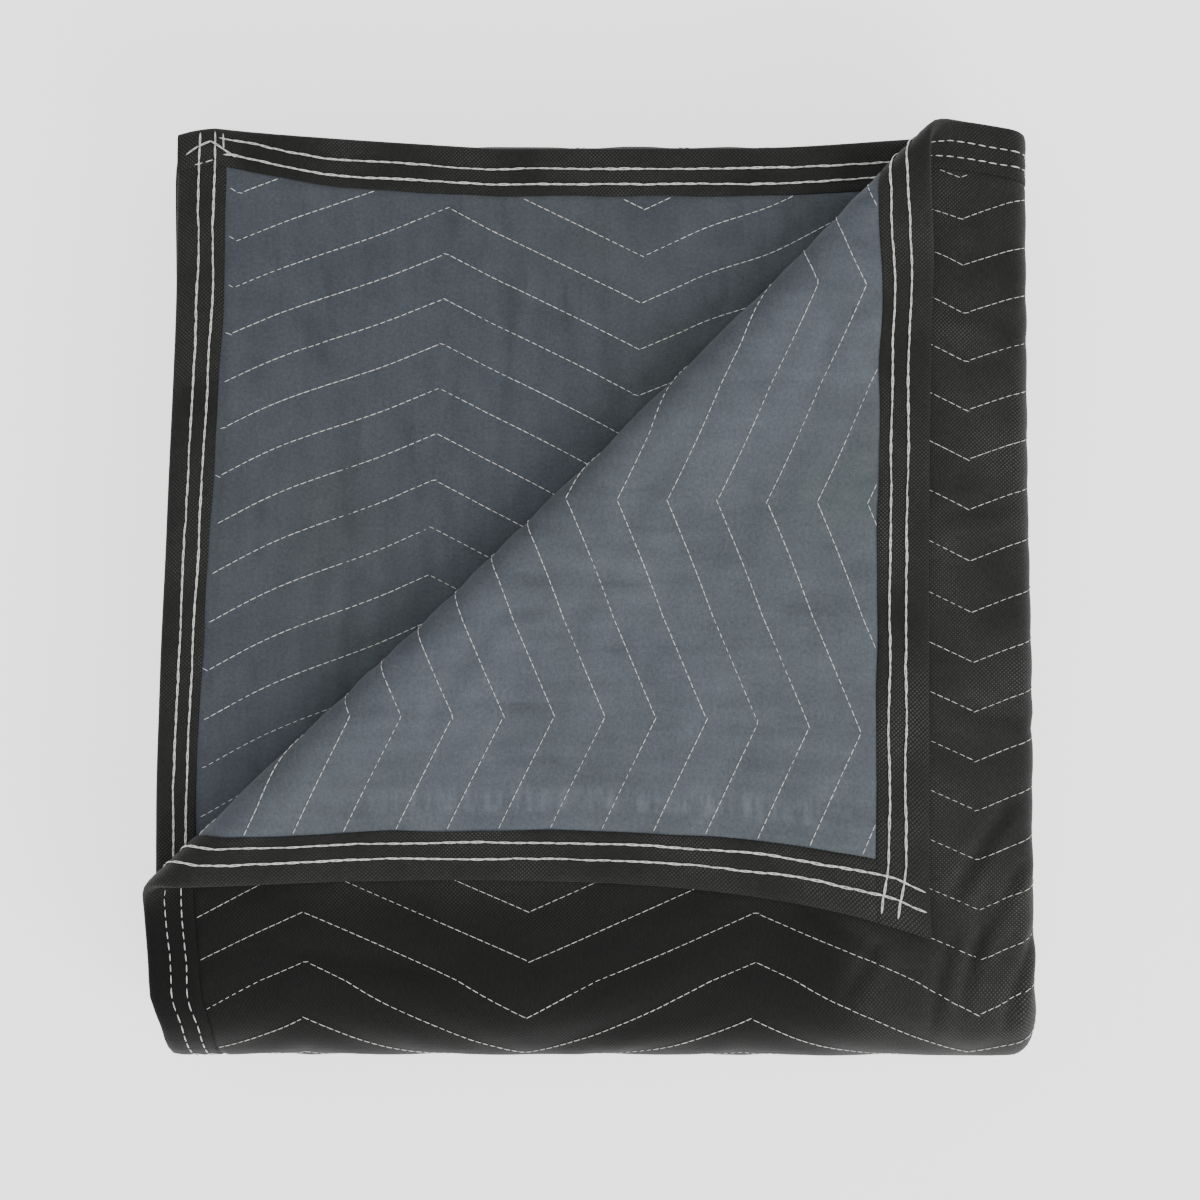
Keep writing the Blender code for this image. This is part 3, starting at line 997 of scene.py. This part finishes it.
class BlanketStage(bpy.types.PropertyGroup):
    """Camera, lights and floor."""

    camera_height: FloatProperty(
        name="Camera Height", description="Height of the camera over the floor",
        default=0.997, min=0.3, max=5.0, unit="LENGTH")
    picture_width: FloatProperty(
        name="Picture Width", description="Width that the picture takes in at the pile's top",
        default=0.6156, min=0.2, max=3.0, unit="LENGTH")
    floor_colour: FloatVectorProperty(
        name="Floor Colour", description="Colour of the floor", subtype="COLOR",
        default=(0.92, 0.92, 0.92), min=0.0, max=1.0)


class BLANKET_OT_outer_panel(bpy.types.Operator):
    """Make the black outer cloth"""

    bl_idname = "blanket.outer_panel"
    bl_label = "Outer Panel"

    def execute(self, context):
        across = stations(ACROSS, (0.0042, 0.022, 0.03, 0.03), (14, 10, 8), WIDTH)
        along = stations(ALONG, (0.0042, 0.022, 0.03, 0.03), (26, 14, 10), LENGTH)
        piece = make_ply("outer_cloth", 1.0, BLACK_CREASES, across, along)
        finish = spunbond("black_spunbond", context.scene.blanket_looks.black)
        settle(piece, finish, "outer_panel", "outer_panel")
        return {"FINISHED"}


class BLANKET_OT_lining_panel(bpy.types.Operator):
    """Make the blue-grey lining"""

    bl_idname = "blanket.lining_panel"
    bl_label = "Lining Panel"

    def execute(self, context):
        across = stations(ACROSS, (0.0050, 0.03, 0.03, 0.0050), (12, 8, 8), WIDTH)
        along = stations(ALONG, (0.0050, 0.03, 0.03, 0.03), (20, 10, 10), LENGTH)
        piece = make_ply("lining_cloth", -1.0, GREY_CREASES, across, along)
        finish = felted("grey_felted_lining", context.scene.blanket_looks.grey)
        settle(piece, finish, "lining_panel", "lining_panel")
        return {"FINISHED"}


TAPES = (
    TapeEdge("end_binding_first", along_end=True, last=False, total=WIDTH),
    TapeEdge("end_binding_last", along_end=True, last=True, total=WIDTH),
    TapeEdge("side_binding_first", along_end=False, last=False, total=LENGTH),
    TapeEdge("side_binding_last", along_end=False, last=True, total=LENGTH),
)
# Half of a tape's section, from its inner edge to the edge of the cloth: inset and height
TAPE_SECTION = (
    (1.000, 0.0012), (1.000, 0.0022), (0.985, 0.0026), (0.880, 0.00275),
    (0.752, 0.00235), (0.590, 0.00285), (0.424, 0.00235), (0.250, 0.00285),
    (0.090, 0.00275), (0.000, 0.00235), (-0.035, 0.0015), (-0.050, 0.0005),
)


def corner_pull(edge, inset, run):
    """Pull the first end's tape in towards its edge near the corner of the second layer."""
    if not edge.along_end or edge.last:
        return 0.0
    return CORNER_TAPE_PULL * near_second_corner(run) * ease(inset / 0.010)


def tape_place(edge, inset, run):
    """Give the flat place of a point of a tape: how far in from the edge, how far along it."""
    inset -= corner_pull(edge, inset, run)
    if not edge.along_end and edge.last and inset > 0.0:
        inset *= side_narrowing(run)
    if edge.along_end:
        return run, LENGTH - inset if edge.last else inset
    return WIDTH - inset if edge.last else inset, run


def tape_stations(edge):
    """List the places along a tape, close together where it shows."""
    route = ACROSS if edge.along_end else ALONG
    fine, coarse = 0.0045, 0.012
    steps = (fine, coarse, coarse, fine if edge.along_end else coarse)
    places = route_places(route, steps, (16, 10, 10))
    if edge.along_end:
        return [-0.0012, *places[1:], edge.total + 0.0012]
    first = (SIDE_TAPE_START, 0.0160, 0.0185, 0.0210, 0.0235, 0.0255, 0.0275)
    places = [place for place in places if 0.030 < place < edge.total - 0.030]
    return [*first, *places, *(edge.total - place for place in reversed(first))]


def make_tape(edge):
    """Make one tape, wrapped round its edge, with two rows of dimples under the stitching."""
    sizes = bpy.context.scene.blanket_sizes
    section = [*TAPE_SECTION, *((inset, -height) for inset, height in reversed(TAPE_SECTION))]
    places = tape_stations(edge)
    name = edge.name.replace("binding", "tape")
    piece = add_grid(name, len(section), len(places))

    def place(column, row):
        share, height = section[column]
        run = places[row]
        waver = 0.0011 * ripple(run * 32.0, 8.0 + height * 500.0, 0.5)
        pucker = ripple(run * 150.0, share * 3.0, 6.0)
        inset = share * (sizes.tape_width + waver * max(share, 0.0))
        across, along = tape_place(edge, inset, run)
        sign = 1.0 if height > 0.0 else -1.0
        lift = height + sign * 0.00022 * pucker
        if not edge.along_end:
            from_end = min(run, edge.total - run)
            under, clear = UNDER_TAPE
            lift *= 0.55 + 0.45 * ease((from_end - under) / (clear - under))
        return across, along, lift

    shape_grid(piece, len(section), len(places), place)
    face_outwards()
    return piece


class BLANKET_OT_bindings(bpy.types.Operator):
    """Make the four binding tapes"""

    bl_idname = "blanket.bindings"
    bl_label = "Bindings"

    def execute(self, context):
        sizes = context.scene.blanket_sizes
        finish = spunbond("black_binding_tape", context.scene.blanket_looks.tape)
        for edge in TAPES:
            piece = make_tape(edge)
            split_and_thicken(piece, sizes.tape_thickness, False)
            settle(piece, finish, edge.name, edge.name)
        return {"FINISHED"}


class BLANKET_OT_quilt_thread(bpy.types.Operator):
    """Sew the zigzag quilting on both faces"""

    bl_idname = "blanket.quilt_thread"
    bl_label = "Quilting Thread"

    def execute(self, context):
        finish = thread_finish("off_white_thread", context.scene.blanket_looks.thread)
        rod = stitch_shape()
        outer = sew("quilting_outside", quilt_stitches(1.0, black_seen, BLACK_CREASES), rod)
        inner = sew("quilting_lining", quilt_stitches(-1.0, grey_seen, GREY_CREASES), rod)
        for piece, slot in ((outer, "outer_panel"), (inner, "lining_panel")):
            settle(piece, finish, None, slot)
        return {"FINISHED"}


# Loose stitches at the second layer's corner, in from its side and its end
CORNER_LINES = (
    ((0.0037, 0.0112), (0.0085, 0.0088), (0.0140, 0.0068),
     (0.0178, 0.0068), (0.0218, 0.0090), (0.0268, 0.0118)),
    ((0.0230, 0.0022), (0.0232, 0.0058)),
    ((0.0236, 0.0126), (0.0290, 0.0122)),
)
FAINT_LINE = ((0.0075, 0.0176), (0.0128, 0.0170), (0.0168, 0.0161), (0.0212, 0.0155))


def tape_rows(edge):
    """List the two rows of stitching along a tape, with where each starts and ends."""
    clear = END_ROW_CLEAR if edge.along_end else SIDE_ROW_CLEAR
    first_end = edge.along_end and not edge.last
    stops = FIRST_END_ROW_STOPS if first_end else (clear, clear)
    return [TapeRow(edge, inset, clear, edge.total - stop)
            for inset, stop in zip((OUTER_STITCH, INNER_STITCH), stops)]


def row_path(row, side):
    """List the flat places along a row of stitching, softly wavering."""
    steps = round((row.end - row.start) / 0.004)
    path = []
    for step in range(steps + 1):
        run = row.start + (row.end - row.start) * step / steps
        waver = 0.0007 * ripple(run * 30.0, row.inset * 900.0, side)
        waver += 0.0003 * ripple(run * 130.0, row.inset * 700.0, side)
        if not row.edge.along_end and not row.edge.last:
            waver -= SIDE_ROW_VEER * (1.0 - ease(run / 0.018))
        if row.edge.along_end and not row.edge.last:
            waver += END_ROW_VEER * (1.0 - ease(run / 0.026))
        path.append(Vector(tape_place(row.edge, row.inset + waver, run)))
    return path


def chain_stitches(path, side, depth):
    """List the looped stitches along a path, uneven in length, width and lie."""
    thread = bpy.context.scene.blanket_thread
    stitches = []
    for place, run in walk(path, thread.chain_pitch):
        uneven = ripple_at(place, 210.0, 3.3)
        open_loop = ripple_at(place, 60.0, 6.1)
        tilt = 0.045 * ripple_at(place, 170.0, 8.8)
        across_run = Vector((-run.y, run.x)) * tilt
        length = thread.chain_pitch * (1.24 + 0.12 * uneven)
        width = thread.chain_width * (0.98 + 0.30 * uneven + 0.40 * open_loop)
        from_edge = edge_distance(place.x, place.y)
        crossing = max(place.x, place.y) < 0.03 or from_edge < 0.0215 and place.y < 0.03
        level = depth + side * (CROSSING_LIFT if crossing else 0.0)
        stitches.append(Stitch(
            place.x, place.y, tuple(run + across_run), length, width, level, side))
    return stitches


def plain_stitches(path, side, depth):
    """List the plain stitches along a path, as the rows look from the outer face."""
    thread = bpy.context.scene.blanket_thread
    stitches = []
    for place, run in walk(path, thread.plain_pitch):
        uneven = ripple_at(place, 210.0, 5.3)
        length = thread.plain_pitch * (0.80 + 0.12 * uneven)
        width = thread.plain_width * (1.0 + 0.2 * uneven)
        stitches.append(Stitch(place.x, place.y, tuple(run), length, width, depth, side))
    return stitches


def corner_path(line):
    """Turn a loose line at the second layer's corner into flat places."""
    return [Vector((WIDTH - inset, along)) for inset, along in line]


class BLANKET_OT_binding_thread(bpy.types.Operator):
    """Sew two rows along each binding, on both faces"""

    bl_idname = "blanket.binding_thread"
    bl_label = "Binding Thread"

    def execute(self, context):
        finish = thread_finish("binding_thread_white", context.scene.blanket_looks.thread)
        link, rod = link_shape(), stitch_shape()
        for edge in TAPES:
            chains, plains = [], []
            for row in tape_rows(edge):
                chains += chain_stitches(row_path(row, -1.0), -1.0, -TAPE_LEVEL)
                plains += plain_stitches(row_path(row, 1.0), 1.0, TAPE_LEVEL)
            if edge.name == "end_binding_first":
                for line in CORNER_LINES:
                    chains += chain_stitches(corner_path(line), -1.0, -TAPE_LEVEL)
                plains += plain_stitches(corner_path(FAINT_LINE), -1.0, -TAPE_LEVEL)
            for kind, stitches, shape in (("chain", chains, link), ("plain", plains, rod)):
                piece = sew(edge.name.replace("binding", kind + "_stitching"), stitches, shape)
                settle(piece, finish, None, edge.name)
        return {"FINISHED"}


def add_area_light(name, place, aim, size, power):
    """Add a soft square light that faces a point."""
    bpy.ops.object.light_add(type="AREA", location=place)
    light = bpy.context.object
    light.name = name
    light.data.size = size
    light.data.energy = power
    light.rotation_euler = (Vector(aim) - Vector(place)).to_track_quat("-Z", "Y").to_euler()


class BLANKET_OT_stage(bpy.types.Operator):
    """Set up the floor, the lights and the camera over the pile"""

    bl_idname = "blanket.stage"
    bl_label = "Stage"

    def execute(self, context):
        stage = context.scene.blanket_stage
        select_none()
        bpy.ops.mesh.primitive_plane_add(size=8.0, location=(0.0, 0.0, FLOOR_HEIGHT))
        floor = context.object
        floor.name = "floor"
        finish = new_material("pale_floor", stage.floor_colour, 0.9, 0.0)
        shader = shader_of(finish)
        shader.inputs["Emission Color"].default_value = (1.0, 1.0, 1.0, 1.0)
        shader.inputs["Emission Strength"].default_value = FLOOR_GLOW
        wear(floor, finish)
        world = bpy.data.worlds.new("soft_room")
        context.scene.world = world
        world.use_nodes = True
        room = world.node_tree.nodes["Background"]
        room.inputs["Color"].default_value = (1.0, 1.0, 1.0, 1.0)
        room.inputs["Strength"].default_value = ROOM_LIGHT
        add_area_light("window", (1.1, -1.3, 1.5), (0.0, 0.0, 0.1), 1.1, 26.0)
        add_area_light("overhead", (-0.2, 0.2, 2.3), (0.0, 0.0, 0.1), 1.8, 12.0)
        top = FLOOR_PACK + 3.0 * PACK_PITCH + TOP_LEVEL
        distance = stage.camera_height - top
        bpy.ops.object.camera_add(location=(*CAMERA_OFFSET, stage.camera_height))
        camera = context.object
        camera.rotation_euler = (0.0, 0.0, 0.0)
        camera.data.sensor_width = SENSOR_WIDTH
        camera.data.lens = SENSOR_WIDTH * distance / stage.picture_width
        context.scene.camera = camera
        return {"FINISHED"}


class BLANKET_PT_panel(bpy.types.Panel):
    """Buttons and values of the folded blanket"""

    bl_idname = "BLANKET_PT_panel"
    bl_label = "Moving Blanket"
    bl_space_type = "VIEW_3D"
    bl_region_type = "UI"
    bl_category = "Moving Blanket"

    def draw(self, context):
        layout = self.layout
        for operator in OPERATORS:
            layout.operator(operator.bl_idname)
        for group in ("blanket_sizes", "blanket_thread", "blanket_looks", "blanket_stage"):
            values = getattr(context.scene, group)
            box = layout.box()
            for name in values.bl_rna.properties.keys():
                if name not in ("rna_type", "name"):
                    box.prop(values, name)


OPERATORS = (
    BLANKET_OT_outer_panel,
    BLANKET_OT_lining_panel,
    BLANKET_OT_bindings,
    BLANKET_OT_quilt_thread,
    BLANKET_OT_binding_thread,
    BLANKET_OT_stage,
)
GROUPS = (
    ("blanket_sizes", BlanketSizes),
    ("blanket_thread", BlanketThread),
    ("blanket_looks", BlanketLooks),
    ("blanket_stage", BlanketStage),
)


def register():
    """Register the groups, the operators and the panel."""
    for name, group in GROUPS:
        bpy.utils.register_class(group)
        setattr(bpy.types.Scene, name, PointerProperty(type=group))
    for item in (*OPERATORS, BLANKET_PT_panel):
        bpy.utils.register_class(item)


def unregister():
    """Take the groups, the operators and the panel away again."""
    for item in reversed((*OPERATORS, BLANKET_PT_panel)):
        bpy.utils.unregister_class(item)
    for name, group in reversed(GROUPS):
        delattr(bpy.types.Scene, name)
        bpy.utils.unregister_class(group)


def main():
    """Build the blanket and its stage."""
    register()
    bpy.ops.blanket.outer_panel()
    bpy.ops.blanket.lining_panel()
    bpy.ops.blanket.bindings()
    bpy.ops.blanket.quilt_thread()
    bpy.ops.blanket.binding_thread()
    bpy.ops.blanket.stage()


if __name__ == "__main__":
    main()
